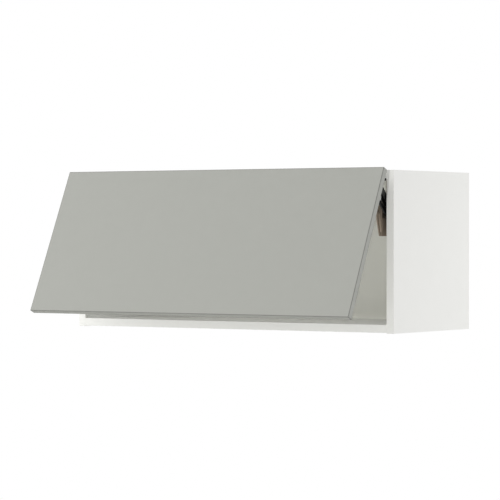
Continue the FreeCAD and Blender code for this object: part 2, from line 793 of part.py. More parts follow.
# Housing: a shell on the inner side that reaches the side panel with a foot below and a pillar behind
housing = new_body("housing")
rear = "layout.plate_rear"
crown = "layout.plate_top"
outline = [
    ("layout.housing_y", "layout.housing_bottom"),
    (f"{rear} - dims.housing_chamfer", "layout.housing_bottom"),
    (rear, "layout.housing_bottom + dims.housing_chamfer"),
    (rear, crown),
    ("layout.brow_y", crown),
    ("layout.brow_y", "layout.brow_z"),
    ("layout.housing_y", "layout.nose_top"),
]
shell = sketch_on(housing, "YZ_Plane", at_layer("layout.housing_near"))
polygon(shell, outline)
pad(housing, shell, "dims.housing_thickness")
foot = sketch_on(housing, "YZ_Plane", "layout.left_x")
foot_front = "layout.housing_y + dims.foot_setback"
foot_rear = f"{foot_front} + dims.foot_depth"
foot_top = "layout.housing_bottom + dims.foot_height"
polygon(foot, [
    (foot_front, "layout.housing_bottom"),
    (foot_rear, "layout.housing_bottom"),
    (foot_rear, foot_top),
    (foot_front, foot_top),
])
pad(housing, foot, "layout.housing_near")
pillar = sketch_on(housing, "YZ_Plane", at_layer("dims.plate_thickness"))
pillar_front = f"{rear} - dims.pillar_depth"
pillar_bottom = "layout.housing_bottom + dims.pillar_rise"
polygon(pillar, [
    (pillar_front, pillar_bottom),
    (rear, pillar_bottom),
    (rear, crown),
    (pillar_front, crown),
])
pad(housing, pillar, "layout.housing_near - dims.plate_thickness")
doc.recompute()
taper = sketch_on(housing, "XZ_Plane")
taper_top = "layout.housing_bottom + dims.taper_height"
polygon(taper, [
    (at_layer("layout.housing_far"), taper_top),
    (at_layer("layout.housing_far - dims.housing_taper"), "layout.housing_bottom"),
    (at_layer("layout.housing_far"), "layout.housing_bottom"),
])
tapered = pocket(housing, taper)
far_x = layout.left_x + layout.housing_far
lowest = layout.housing_bottom
rounded = []
for number, edge in enumerate(tapered.Shape.Edges, 1):
    middle = edge.CenterOfMass
    on_front = abs(middle.y - layout.housing_y) < 0.01 and middle.x > far_x - dims.housing_taper
    on_base = abs(middle.z - lowest) < 0.01 and abs(middle.x - far_x + dims.housing_taper) < 0.01
    if on_base or (on_front and lowest + 1 < middle.z < layout.nose_top - 1):
        rounded.append(f"Edge{number}")
nose = housing.newObject("PartDesign::Fillet", "nose")
nose.Base = (tapered, rounded)
nose.setExpression("Radius", "dims.housing_round")
doc.recompute()
cavity = sketch_on(housing, "YZ_Plane", at_layer("layout.housing_near"))
wall = "dims.housing_wall"
cavity_floor = f"{taper_top} + {wall}"
polygon(cavity, [
    (f"layout.housing_y + {wall}", cavity_floor),
    (f"{rear} - {wall}", cavity_floor),
    (f"{rear} - {wall}", f"{crown} - {wall}"),
    (f"layout.brow_y + {wall}", f"{crown} - {wall}"),
    (f"layout.brow_y + {wall}", f"layout.brow_z - {wall}"),
    (f"layout.housing_y + {wall}", f"layout.nose_top - {wall}"),
])
pocket(housing, cavity, f"dims.housing_thickness - {wall}", reverse=True)
keyhole = sketch_on(housing, "XZ_Plane", "-layout.housing_y - dims.housing_wall")
circle(keyhole, ("layout.adjuster_x", "layout.adjuster_z"), f"dims.adjuster_radius + {FIT}")
pocket(housing, keyhole, wall, reverse=True)
keep_pair(housing, "lift_housing")

# Tension adjuster with a square socket in its front end
adjuster_at = ("layout.adjuster_x", "layout.housing_y", "layout.adjuster_z")
adjuster_bar = rod("dims.adjuster_radius", "dims.adjuster_length", adjuster_at, "y")
socket = box(
    ("2 * dims.adjuster_socket", "dims.adjuster_radius", "2 * dims.adjuster_socket"),
    ("layout.adjuster_x - dims.adjuster_socket", "layout.housing_y",
     "layout.adjuster_z - dims.adjuster_socket"),
)
keep_pair(cut(adjuster_bar, [socket]), "tension_adjuster")

# Lift spring wound on the shoulder of the pivot pin
COIL_LENGTH = f"{pin_stop} - ({shoulder_start}) - 2 * dims.spring_wire - dims.running_gap"


def biarc(start, leave, end, arrive):
    """Two arcs that run smoothly from one place and direction to another."""
    span = end - start
    both = leave + arrive
    bend = 2 * (1 - leave.dot(arrive))
    reach = (math.sqrt(span.dot(both) ** 2 + bend * span.dot(span)) - span.dot(both)) / bend
    corners = (start + leave * reach, end - arrive * reach)
    joint = (corners[0] + corners[1]) * 0.5
    arcs = []
    for first, corner, last in ((start, corners[0], joint), (joint, corners[1], end)):
        chord = (first + last) * 0.5
        half = (last - first).Length / 2
        rise = corner - chord
        bulge = half * math.tan(math.atan2(rise.Length, half) / 2)
        arcs.append(Part.Arc(first, chord + rise * (bulge / rise.Length), last).toShape())
    return arcs


def lift_spring():
    """Round wire in even turns about X, starting on the housing's side of the arm."""
    wire = dims.spring_wire
    radius = dims.shoulder_radius + dims.spring_play + wire
    rise = value_of(COIL_LENGTH) / dims.spring_turns
    slope = math.atan2(rise, 2 * math.pi * radius)
    steps = math.ceil(4 * dims.spring_turns)

    def place(turns):
        angle = 2 * math.pi * turns
        return V(rise * turns, radius * math.cos(angle), radius * math.sin(angle))

    def heading(turns):
        angle = 2 * math.pi * turns
        across = V(0, -math.sin(angle), math.cos(angle))
        return across * math.cos(slope) + V(math.sin(slope), 0, 0)

    stops = [dims.spring_turns * i / steps for i in range(steps + 1)]
    arcs = []
    for a, b in zip(stops, stops[1:]):
        arcs += biarc(place(a), heading(a), place(b), heading(b))
    path = Part.Wire(arcs)
    section = Part.Wire(Part.Circle(place(0), heading(0), wire).toShape())
    points = [place(dims.spring_turns * i / 400) for i in range(401)]
    apart = math.ceil(200 / dims.spring_turns)
    nearest = min(
        (points[i] - points[j]).Length for i in range(401) for j in range(i + apart, 401)
    )
    print("least gap between turns", round(nearest - 2 * wire, 3))
    coil = doc.addObject("Part::Feature", "coil")
    coil.Shape = path.makePipeShell([section], True, False)
    put(coil, at_layer(f"{shoulder_start} + dims.spring_wire"), "layout.lever_y", "layout.lever_z")
    return coil


keep_pair(lift_spring(), "lift_spring")

# Door, with its frame at the middle of its back upper edge
door = new_body("door")
slab = sketch_on(door, "XZ_Plane")
polygon(slab, [
    ("-layout.door_width / 2", "-layout.door_height"),
    ("layout.door_width / 2", "-layout.door_height"),
    ("layout.door_width / 2", "0"),
    ("-layout.door_width / 2", "0"),
])
blank = pad(door, slab, "dims.door_thickness")
doc.recompute()
arris = door.newObject("PartDesign::Fillet", "arris")
arris.Base = (blank, [f"Edge{i + 1}" for i in range(len(blank.Shape.Edges))])
arris.setExpression("Radius", "dims.door_arris")
doc.recompute()
door_holes = sketch_on(door, "XZ_Plane")
for x in ("layout.bracket_screw_x", "-layout.bracket_screw_x"):
    for z in BRACKET_SCREW_Z:
        circle(door_holes, (x, z), SCREW_HOLE)
pocket(door, door_holes, "dims.screw_length", reverse=True)
place_at_door(door)
keep(door, "door_panel")

# Door bracket: a plate on the back of the door and an ear between the cheeks of the arm
bracket = new_body("bracket")
bracket_x = at_layer("layout.lever_near")
flat = sketch_on(bracket, "XZ_Plane")
flat_right = f"{bracket_x} + dims.bracket_width"
polygon(flat, [
    (bracket_x, "layout.bracket_bottom"),
    (flat_right, "layout.bracket_bottom"),
    (flat_right, "layout.bracket_top"),
    (bracket_x, "layout.bracket_top"),
])
pad(bracket, flat, "dims.bracket_sheet", reverse=True)
ear = sketch_on(bracket, "YZ_Plane", bracket_x)
polygon(ear, [
    ("0", "layout.bracket_bottom"),
    ("layout.link_pin_depth", "layout.bracket_bottom"),
    ("layout.pin_depth", "layout.bracket_top"),
    ("0", "layout.bracket_top"),
])
pad(bracket, ear, "dims.lever_thickness")
EAR_PINS = [
    ("layout.pin_depth", "-layout.pin_drop"),
    ("layout.link_pin_depth", "-layout.link_pin_drop"),
]
for centre in EAR_PINS:
    knuckle = sketch_on(bracket, "YZ_Plane", bracket_x)
    circle(knuckle, centre, "dims.bracket_ear_radius")
    pad(bracket, knuckle, "dims.lever_thickness")
doc.recompute()
ear_bores = sketch_on(bracket, "YZ_Plane", bracket_x)
for centre in EAR_PINS:
    circle(ear_bores, centre, PIN_HOLE)
pocket(bracket, ear_bores, "dims.lever_thickness", reverse=True)
flat_holes = sketch_on(bracket, "XZ_Plane")
for z in BRACKET_SCREW_Z:
    circle(flat_holes, ("layout.bracket_screw_x", z), SCREW_HOLE)
pocket(bracket, flat_holes, "dims.bracket_sheet", reverse=False)
place_at_door(bracket)
keep_pair(bracket, "door_bracket")

wrist_pin = rod(
    "dims.pin_radius", "layout.arm_width",
    (at_layer("layout.arm_near"), EAR_PINS[0][0], EAR_PINS[0][1]), "x",
)
link_end_pin = rod(
    "dims.pin_radius", "layout.cheek_far - layout.lever_near - dims.running_gap",
    (bracket_x, EAR_PINS[1][0], EAR_PINS[1][1]), "x",
)
door_pins = group([wrist_pin, link_end_pin])
place_at_door(door_pins)
keep_pair(door_pins, "door_pins")

bracket_screws = group([
    screw(("layout.bracket_screw_x", "dims.bracket_sheet + dims.screw_head", z), "-y")
    for z in BRACKET_SCREW_Z
])
place_at_door(bracket_screws)
keep_pair(bracket_screws, "bracket_screws")

# Closing buffers on the back of the door, opposite the front edges of the side panels
buffer_x = "layout.half_width - dims.panel_thickness / 2"
buffer_z = "-layout.door_height + dims.buffer_height"
buffers = group([
    rod("dims.buffer_radius", "dims.buffer_thickness", (x, "0", buffer_z), "y")
    for x in (f"-({buffer_x})", buffer_x)
])
place_at_door(buffers)
keep(buffers, "door_buffers")

doc.recompute()
for obj in doc.Objects:
    if "Invalid" in obj.State or "Error" in obj.State:
        raise RuntimeError(f"{obj.Label} failed: {obj.State}")
for obj in nodes:
    if obj.Shape.isNull() or not obj.Shape.isValid():
        raise RuntimeError(f"{obj.Label} has no valid shape")
os.makedirs("parts", exist_ok=True)
for obj in nodes:
    obj.Shape.exportStep(f"parts/{obj.Label}.step")
    print(obj.Label, len(obj.Shape.Solids), round(obj.Shape.Volume, 1))
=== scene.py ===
import json
import math

import bmesh
import bpy
from bpy.props import FloatProperty, FloatVectorProperty, IntProperty, PointerProperty
from mathutils import Matrix, Vector


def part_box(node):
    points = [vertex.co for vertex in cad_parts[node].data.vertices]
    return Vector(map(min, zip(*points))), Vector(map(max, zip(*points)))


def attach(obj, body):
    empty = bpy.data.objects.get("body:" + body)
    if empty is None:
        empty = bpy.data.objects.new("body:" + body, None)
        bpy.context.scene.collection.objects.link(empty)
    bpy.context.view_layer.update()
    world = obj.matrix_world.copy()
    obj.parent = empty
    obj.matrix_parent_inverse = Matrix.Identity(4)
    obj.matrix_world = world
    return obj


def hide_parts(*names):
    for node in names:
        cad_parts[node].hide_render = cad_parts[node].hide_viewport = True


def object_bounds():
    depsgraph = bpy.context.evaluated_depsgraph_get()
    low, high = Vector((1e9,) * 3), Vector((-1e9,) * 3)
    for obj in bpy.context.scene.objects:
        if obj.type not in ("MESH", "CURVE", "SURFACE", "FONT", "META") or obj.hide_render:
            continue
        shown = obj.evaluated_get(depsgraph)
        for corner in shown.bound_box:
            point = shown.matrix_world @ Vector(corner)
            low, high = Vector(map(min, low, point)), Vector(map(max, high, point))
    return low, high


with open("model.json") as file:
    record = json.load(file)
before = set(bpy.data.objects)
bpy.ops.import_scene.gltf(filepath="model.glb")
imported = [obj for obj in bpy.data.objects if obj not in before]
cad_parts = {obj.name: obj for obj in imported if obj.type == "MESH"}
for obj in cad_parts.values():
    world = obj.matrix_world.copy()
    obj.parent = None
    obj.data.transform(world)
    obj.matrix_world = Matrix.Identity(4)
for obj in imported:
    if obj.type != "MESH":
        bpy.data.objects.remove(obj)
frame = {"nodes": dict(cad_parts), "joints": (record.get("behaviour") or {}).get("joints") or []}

bl_info = {
    "name": "Lift-up Wall Cabinet",
    "version": (1, 0, 0),
    "blender": (4, 5, 0),
    "location": "View3D > Sidebar > Wall Cabinet",
    "description": "Finishes a horizontal wall cabinet with one lift-up door",
    "category": "Object",
}

NODES = frame["nodes"]
CAD_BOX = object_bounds()
MM = 0.001
SIDES = ("left", "right")
X, Y, Z = range(3)

# The door's own axes at rest: it is turned about X by how far it can still close.
DOOR_ANGLE = -math.radians(frame["joints"][0]["range_deg"][0])
DOOR_TURN = Matrix.Rotation(-DOOR_ANGLE, 3, "X")
STRAIGHT = Matrix.Identity(3)

# Shares of its scale that a pattern keeps along the way its surface was drawn, rolled or grown
DRAWN = 0.03
ROLLED = 0.15
GROWN = 0.12
EVEN = (1.0, 1.0, 1.0)

# Dark glue line and painted shade along the door's arrises: how far in it is full, where it has faded out,
# its tone
SEAM_AND_SHADE_FULL = 1.1 * MM
SEAM_AND_SHADE_END = 1.9 * MM
SEAM_AND_SHADE_TONE = 0.55

# How much lighter the housing's arrises and rib are painted, as a painted highlight
PAINTED_HIGHLIGHT_GAIN = 2.0

# Sockets of a Mix node that mixes colours
MIX_FACTOR, MIX_A, MIX_B, MIX_RESULT = 0, 6, 7, 2

# Limits for merging and shading meshes
WELD = 0.002 * MM
FLAT_ANGLE = math.radians(1)
BEVEL_ANGLE = math.radians(35)
BEVEL_SEGMENTS = 2
TURNED_CREASE = math.radians(35)
RIB_CREASE = math.radians(40)

# Finishes by slot and node trees by use, which main fills in
FINISH = {}
TREES = {}


def linear(hex_colour):
    """Linear RGBA of an sRGB hex colour."""
    parts = [int(hex_colour[i:i + 2], 16) / 255 for i in (1, 3, 5)]
    return tuple(c / 12.92 if c <= 0.04045 else ((c + 0.055) / 1.055) ** 2.4 for c in parts) + (1.0,)


def colour(name, hex_colour, words):
    """Colour that the sidebar offers."""
    return FloatVectorProperty(
        name=name, description=words, subtype="COLOR", size=4, min=0.0, max=1.0, default=linear(hex_colour),
    )


def length(name, millimetres, words):
    """Length that the sidebar offers."""
    return FloatProperty(
        name=name, description=words, subtype="DISTANCE", unit="LENGTH", min=0.0, default=millimetres * MM,
    )


class CabinetColours(bpy.types.PropertyGroup):
    """Colours of the cabinet's finishes"""

    melamine: colour("Melamine", "#E9E9E6", "Faces of the sides, top and bottom")
    edging: colour("Edge strips", "#E9E9E5", "Strips on the front edges of the panels")
    back: colour("Back panel", "#E0E0D8", "Lacquered face of the back panel")
    door: colour("Door", "#9C9D97", "Foil on the door")
    housing: colour("Housing", "#8D7F70", "Plastic shell of the lift mechanism")
    arms: colour("Arms", "#141414", "Coating of the arms, levers and links")
    caps: colour("Caps", "#EAEAE7", "Plugs in the access holes")


class CabinetSizes(bpy.types.PropertyGroup):
    """Small sizes that only the finish has"""

    strip_round: length("Strip rounding", 0.35, "Rounding along the edge strips")
    sheet_round: length("Sheet rounding", 0.25, "Rounding along stamped sheet edges")
    shell_round: length("Shell rounding", 0.6, "Rounding along the edges of the moulded housing")
    rib_width: length("Rib width", 4.0, "Width of the rib on the front of the housing")
    rib_height: length("Rib height", 1.2, "How far the rib stands out of the housing")
    recess: length("Driver recess", 1.1, "Depth of the cross recess in a screw head")
    spring_wire: length("Spring wire", 1.2, "Radius of the wire of the lift springs")
    flute_count: IntProperty(name="Flutes", description="Flutes round a dowel", min=6, max=40, default=18)
    floor_drop: length("Floor drop", 720.0, "How far the floor lies below the cabinet")


# Nodes, materials and meshes


def add_node(tree, kind, settings, links=None):
    """Add a node, set its properties or unlinked sockets and link sources to its sockets."""
    node = tree.nodes.new(kind)
    for key, value in settings.items():
        if isinstance(key, str) and hasattr(node, key):
            setattr(node, key, value)
        else:
            node.inputs[key].default_value = value
    for key, source in (links or {}).items():
        tree.links.new(source, node.inputs[key])
    return node


def start_material(name):
    """An empty material: its tree, shader and object coordinates."""
    material = bpy.data.materials.new(name)
    material.use_nodes = True
    tree = material.node_tree
    tree.nodes.clear()
    shader = add_node(tree, "ShaderNodeBsdfPrincipled", {})
    add_node(tree, "ShaderNodeOutputMaterial", {}, {"Surface": shader.outputs[0]})
    place = add_node(tree, "ShaderNodeTexCoord", {}).outputs["Object"]
    return material, tree, shader, place


def per_metre(millimetres):
    """Texture scale that repeats about once in a real size."""
    return 1 / (millimetres * MM)


def shade(rgba, factor):
    """The colour made lighter or darker."""
    return tuple(min(1.0, c * factor) for c in rgba[:3]) + (1.0,)


def mottle(tree, place, rgba, spread, size):
    """The colour with a slow, even drift of brightness; returns its socket."""
    drift = add_node(
        tree, "ShaderNodeTexNoise", {"Scale": per_metre(size), "Detail": 4.0, "Roughness": 0.6},
        {"Vector": place},
    )
    mix = add_node(
        tree, "ShaderNodeMix",
        {"data_type": "RGBA", MIX_A: shade(rgba, 1 - spread), MIX_B: shade(rgba, 1 + spread)},
        {MIX_FACTOR: drift.outputs[0]},
    )
    return mix.outputs[MIX_RESULT]


def grain(tree, place, size, low, high):
    """Roughness that wanders between two values; returns its socket."""
    noise = add_node(tree, "ShaderNodeTexNoise", {"Scale": per_metre(size), "Detail": 3.0}, {"Vector": place})
    ramp = add_node(
        tree, "ShaderNodeMapRange", {"From Min": 0.3, "From Max": 0.7, "To Min": low, "To Max": high},
        {"Value": noise.outputs[0]},
    )
    return ramp.outputs[0]


def relief(tree, shader, height, depth, strength):
    """Bump from a height socket, its depth in millimetres."""
    bump = add_node(
        tree, "ShaderNodeBump", {"Strength": strength, "Distance": depth * MM}, {"Height": height},
    )
    tree.links.new(bump.outputs[0], shader.inputs["Normal"])


def melamine(name, rgba):
    # Melamine paper pressed on chipboard against an embossed plate: an even, eggshell-matt white. Its
    # pebbling is about 0.4 mm and is drawn at 2.5 mm, so that it still breaks up the highlights.
    material, tree, shader, place = start_material(name)
    tree.links.new(mottle(tree, place, rgba, spread=0.012, size=70), shader.inputs["Base Color"])
    tree.links.new(grain(tree, place, size=9, low=0.42, high=0.54), shader.inputs["Roughness"])
    pebbles = add_node(
        tree, "ShaderNodeTexVoronoi", {"Scale": per_metre(2.5), "feature": "SMOOTH_F1"}, {"Vector": place},
    )
    relief(tree, shader, pebbles.outputs[0], depth=0.03, strength=0.25)
    shader.inputs["IOR"].default_value = 1.48
    return material


def edge_foil(name, rgba, along):
    # ABS edge band, scraped and buffed along its length: a little smoother than the faces, with faint
    # draw lines about 1.5 mm apart that follow the strip.
    material, tree, shader, place = start_material(name)
    tree.links.new(mottle(tree, place, rgba, spread=0.01, size=45), shader.inputs["Base Color"])
    tree.links.new(grain(tree, place, size=14, low=0.34, high=0.44), shader.inputs["Roughness"])
    stretched = add_node(
        tree, "ShaderNodeMapping", {"vector_type": "POINT", "Scale": along}, {"Vector": place},
    )
    lines = add_node(
        tree, "ShaderNodeTexNoise", {"Scale": per_metre(1.5), "Detail": 2.0},
        {"Vector": stretched.outputs[0]},
    )
    relief(tree, shader, lines.outputs[0], depth=0.02, strength=0.2)
    shader.inputs["IOR"].default_value = 1.5
    return material


def fibreboard(name, rgba):
    # Thin fibreboard with a rolled white lacquer: matt, with the soft orange peel of the roller, about
    # 3 mm across, and a trace of the warm board underneath.
    material, tree, shader, place = start_material(name)
    tree.links.new(mottle(tree, place, rgba, spread=0.018, size=30), shader.inputs["Base Color"])
    tree.links.new(grain(tree, place, size=12, low=0.5, high=0.62), shader.inputs["Roughness"])
    peel = add_node(tree, "ShaderNodeTexNoise", {"Scale": per_metre(3), "Detail": 1.0}, {"Vector": place})
    relief(tree, shader, peel.outputs[0], depth=0.05, strength=0.25)
    return material


def door_foil(name, rgba, low, high):
    # Matt lacquer foil laid over fibreboard with a band on each edge. The eye sees one quiet grey, a
    # fine dry tooth of about 0.5 mm drawn at 2 mm, and a thin darker line where foil and band meet: a glue
    # line, darkened further as painted shade along the arris.
    material, tree, shader, place = start_material(name)
    local = add_node(
        tree, "ShaderNodeMapping", {"vector_type": "POINT", "Rotation": (DOOR_ANGLE, 0.0, 0.0)},
        {"Vector": place},
    )
    axes = add_node(tree, "ShaderNodeSeparateXYZ", {}, {0: local.outputs[0]})
    depths = []
    for i in range(3):
        below = add_node(tree, "ShaderNodeMath", {"operation": "SUBTRACT", 1: low[i]}, {0: axes.outputs[i]})
        above = add_node(tree, "ShaderNodeMath", {"operation": "SUBTRACT", 0: high[i]}, {1: axes.outputs[i]})
        depths.append(add_node(
            tree, "ShaderNodeMath", {"operation": "MINIMUM"}, {0: below.outputs[0], 1: above.outputs[0]},
        ).outputs[0])
    # The middle one of the three depths is small only along an arris.
    least = add_node(tree, "ShaderNodeMath", {"operation": "MINIMUM"}, {0: depths[0], 1: depths[1]})
    most = add_node(tree, "ShaderNodeMath", {"operation": "MAXIMUM"}, {0: depths[0], 1: depths[1]})
    inner = add_node(tree, "ShaderNodeMath", {"operation": "MINIMUM"}, {0: most.outputs[0], 1: depths[2]})
    middle = add_node(
        tree, "ShaderNodeMath", {"operation": "MAXIMUM"}, {0: least.outputs[0], 1: inner.outputs[0]},
    )
    # Painted shade along the door's arrises, together with the glue line where foil and band meet
    seam_and_shade = add_node(
        tree, "ShaderNodeMapRange",
        {
            "interpolation_type": "SMOOTHSTEP", "From Min": SEAM_AND_SHADE_FULL, "From Max": SEAM_AND_SHADE_END,
            "To Min": 1.0, "To Max": 0.0,
        },
        {"Value": middle.outputs[0]},
    )
    face = mottle(tree, place, rgba, spread=0.012, size=55)
    face_with_seam_shade = add_node(
        tree, "ShaderNodeMix", {"data_type": "RGBA", MIX_B: shade(rgba, SEAM_AND_SHADE_TONE)},
        {MIX_FACTOR: seam_and_shade.outputs[0], MIX_A: face},
    )
    tree.links.new(face_with_seam_shade.outputs[MIX_RESULT], shader.inputs["Base Color"])
    tree.links.new(grain(tree, place, size=18, low=0.5, high=0.6), shader.inputs["Roughness"])
    tooth = add_node(tree, "ShaderNodeTexNoise", {"Scale": per_metre(2), "Detail": 3.0}, {"Vector": place})
    relief(tree, shader, tooth.outputs[0], depth=0.02, strength=0.25)
    shader.inputs["IOR"].default_value = 1.46
    return material


def moulded_plastic(name, rgba, rough, tooth_size):
    # Injection-moulded plastic from a spark-eroded mould: a dull, slightly uneven skin whose fine pits,
    # about 0.2 mm, are drawn larger so that they show.
    material, tree, shader, place = start_material(name)
    tree.links.new(mottle(tree, place, rgba, spread=0.06, size=14), shader.inputs["Base Color"])
    gloss = grain(tree, place, size=5, low=rough - 0.06, high=rough + 0.06)
    tree.links.new(gloss, shader.inputs["Roughness"])
    pits = add_node(tree, "ShaderNodeTexVoronoi", {"Scale": per_metre(tooth_size)}, {"Vector": place})
    relief(tree, shader, pits.outputs[0], depth=0.05, strength=0.35)
    shader.inputs["IOR"].default_value = 1.53
    return material


def coated_steel(name, rgba):
    # Steel with a black dip coat: deep and even, half gloss, with the small nibs of the coat, about
    # 0.6 mm, drawn at 0.9 mm.
    material, tree, shader, place = start_material(name)
    tree.links.new(mottle(tree, place, rgba, spread=0.15, size=8), shader.inputs["Base Color"])
    tree.links.new(grain(tree, place, size=4, low=0.32, high=0.46), shader.inputs["Roughness"])
    nibs = add_node(tree, "ShaderNodeTexNoise", {"Scale": per_metre(0.9), "Detail": 2.0}, {"Vector": place})
    relief(tree, shader, nibs.outputs[0], depth=0.03, strength=0.3)
    shader.inputs["IOR"].default_value = 1.5
    return material


def rubbed_coat(name, rgba):
    # The same coat where tumbling has thinned it on the stamped edges: greyer and smoother, with the steel
    # showing in short streaks of about 3 mm.
    material, tree, shader, place = start_material(name)
    streaks = add_node(tree, "ShaderNodeTexNoise", {"Scale": per_metre(3), "Detail": 3.0}, {"Vector": place})
    mix = add_node(
        tree, "ShaderNodeMix", {"data_type": "RGBA", MIX_A: rgba, MIX_B: linear("#6A6B6C")},
        {MIX_FACTOR: streaks.outputs[0]},
    )
    tree.links.new(mix.outputs[MIX_RESULT], shader.inputs["Base Color"])
    tree.links.new(grain(tree, place, size=2, low=0.24, high=0.36), shader.inputs["Roughness"])
    shader.inputs["Metallic"].default_value = 0.35
    return material


def zinc_plate(name, rgba, rough, brush):
    # Bright zinc on cold-rolled steel: a cool metal with the faint rolling lines of the sheet and a
    # cloudy spread of gloss from the plating bath.
    material, tree, shader, place = start_material(name)
    shader.inputs["Metallic"].default_value = 1.0
    tree.links.new(mottle(tree, place, rgba, spread=0.05, size=12), shader.inputs["Base Color"])
    gloss = grain(tree, place, size=7, low=rough - 0.07, high=rough + 0.09)
    tree.links.new(gloss, shader.inputs["Roughness"])
    stretched = add_node(
        tree, "ShaderNodeMapping", {"vector_type": "POINT", "Scale": brush}, {"Vector": place},
    )
    rolled = add_node(
        tree, "ShaderNodeTexNoise", {"Scale": per_metre(0.8), "Detail": 2.0},
        {"Vector": stretched.outputs[0]},
    )
    relief(tree, shader, rolled.outputs[0], depth=0.02, strength=0.2)
    return material


def beech(name):
    # Turned beech: warm and pale, with darker growth lines about 1.2 mm apart along the dowel and the
    # short dark flecks that beech shows on its quartered face.
    material, tree, shader, place = start_material(name)
    along = add_node(
        tree, "ShaderNodeMapping", {"vector_type": "POINT", "Scale": (GROWN, 1.0, 1.0)}, {"Vector": place},
    )
    rings = add_node(
        tree, "ShaderNodeTexNoise", {"Scale": per_metre(1.2), "Detail": 5.0}, {"Vector": along.outputs[0]},
    )
    mix = add_node(
        tree, "ShaderNodeMix", {"data_type": "RGBA", MIX_A: linear("#B98C5E"), MIX_B: linear("#DDBC90")},
        {MIX_FACTOR: rings.outputs[0]},
    )
    tree.links.new(mix.outputs[MIX_RESULT], shader.inputs["Base Color"])
    shader.inputs["Roughness"].default_value = 0.62
    relief(tree, shader, rings.outputs[0], depth=0.08, strength=0.3)
    return material


def elastomer(name, rgba, clear):
    # Soft clear buffer: rubbery and cloudy, so light passes through it but no shape behind it shows.
    material, tree, shader, place = start_material(name)
    tree.links.new(mottle(tree, place, rgba, spread=0.05, size=3), shader.inputs["Base Color"])
    tree.links.new(grain(tree, place, size=2, low=0.3, high=0.45), shader.inputs["Roughness"])
    shader.inputs["Transmission Weight"].default_value = clear
    shader.inputs["IOR"].default_value = 1.45
    return material


def finishes():
    """Every finish of the cabinet by its slot, made once."""
    tones = bpy.context.scene.cabinet_colours
    corners = [DOOR_TURN.inverted() @ v.co for v in NODES["door_panel"].data.vertices]
    low = [min(p[i] for p in corners) for i in range(3)]
    high = [max(p[i] for p in corners) for i in range(3)]
    return {
        "white_panel": melamine("melamine_embossed_white", tones.melamine),
        "edge_strip": edge_foil("abs_edge_band_upright", tones.edging, (1.0, 1.0, DRAWN)),
        "edge_strip_level": edge_foil("abs_edge_band_level", tones.edging, (DRAWN, 1.0, 1.0)),
        "back_board": fibreboard("fibreboard_lacquered_white", tones.back),
        "grey_door": door_foil("lacquer_foil_matt_grey", tones.door, low, high),
        "white_plastic": moulded_plastic("polystyrene_moulded_white", tones.caps, 0.4, 1.2),
        "taupe_plastic": moulded_plastic("abs_spark_eroded_taupe", tones.housing, 0.55, 0.9),
        # Painted highlight: the housing's plastic made paler and glossier for its rounded edges and its rib
        "taupe_painted_highlight": moulded_plastic("abs_taupe_painted_highlight", shade(tones.housing, PAINTED_HIGHLIGHT_GAIN), 0.36, 1.4),
        "black_plastic": moulded_plastic("nylon_moulded_black", linear("#1B1B1B"), 0.5, 0.8),
        "black_steel": coated_steel("steel_dip_coated_black", tones.arms),
        "black_arris": rubbed_coat("steel_coat_rubbed_grey", tones.arms),
        "zinc_steel": zinc_plate("steel_zinc_plated", linear("#BFC0C2"), 0.34, (1.0, ROLLED, 1.0)),
        "zinc_casting": zinc_plate("zinc_die_cast", linear("#A9AAAC"), 0.46, EVEN),
        "spring_steel": zinc_plate("spring_steel_oiled", linear("#77787B"), 0.3, EVEN),
        "beech": beech("beech_turned"),
        "clear_rubber": elastomer("elastomer_clear", linear("#DCDEDB"), 0.55),
    }


def dress(node, finish):
    """Give a carried-over node its finish."""
    slots = NODES[node].data.materials
    slots.clear()
    slots.append(FINISH[finish])


def new_piece(name, mesh, body, replaced=()):
    """Put a finished mesh in the scene as a piece of one body that may stand for some of its nodes."""
    piece = bpy.data.objects.new(name, mesh)
    bpy.context.scene.collection.objects.link(piece)
    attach(piece, body)
    if replaced:
        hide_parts(*replaced)
    return piece


def joined_copy(node):
    """A node's faces as a joined mesh, with flat runs of triangles merged."""
    copy = bmesh.new()
    copy.from_mesh(NODES[node].data)
    bmesh.ops.remove_doubles(copy, verts=copy.verts, dist=WELD)
    bmesh.ops.dissolve_limit(copy, angle_limit=FLAT_ANGLE, verts=copy.verts, edges=copy.edges)
    return copy


def eased(name, node, body, slot, radius, finish=None, arris=None):
    """Stand-in for a node with its sharp edges rounded, as stamping and moulding leave them."""
    mesh = bpy.data.meshes.new(name)
    copy = joined_copy(node)
    copy.to_mesh(mesh)
    copy.free()
    mesh.shade_smooth()
    mesh.materials.append(FINISH[finish or slot])
    piece = bpy.data.objects.new(name, mesh)
    bpy.context.scene.collection.objects.link(piece)
    bevel = piece.modifiers.new("edges", "BEVEL")
    bevel.width = radius
    bevel.segments = BEVEL_SEGMENTS
    bevel.limit_method = "ANGLE"
    bevel.angle_limit = BEVEL_ANGLE
    if arris:
        mesh.materials.append(FINISH[arris])
        bevel.material = 1
    # Normals follow the larger faces, so that flats look flat and only the rounding looks round.
    shading = piece.modifiers.new("shading", "WEIGHTED_NORMAL")
    shading.mode = "FACE_AREA"
    shading.weight = 100
    graph = bpy.context.evaluated_depsgraph_get()
    rounded = bpy.data.meshes.new_from_object(piece.evaluated_get(graph))
    bpy.data.objects.remove(piece)
    bpy.data.meshes.remove(mesh)
    rounded.name = name
    return new_piece(name, rounded, body, [node])


def solids_of(node, turn=STRAIGHT):
    """Lowest and highest corner of each separate solid of a node, along turned axes."""
    copy = bmesh.new()
    copy.from_mesh(NODES[node].data)
    bmesh.ops.remove_doubles(copy, verts=copy.verts, dist=WELD)
    back = turn.inverted()
    left = set(copy.verts)
    boxes = []
    while left:
        reach = [left.pop()]
        points = []
        while reach:
            vert = reach.pop()
            points.append(back @ vert.co)
            for edge in vert.link_edges:
                other = edge.other_vert(vert)
                if other in left:
                    left.remove(other)
                    reach.append(other)
        boxes.append((
            Vector([min(p[i] for p in points) for i in range(3)]),
            Vector([max(p[i] for p in points) for i in range(3)]),
        ))
    copy.free()
    return sorted(boxes, key=lambda pair: tuple(round(c, 5) for c in pair[0]))


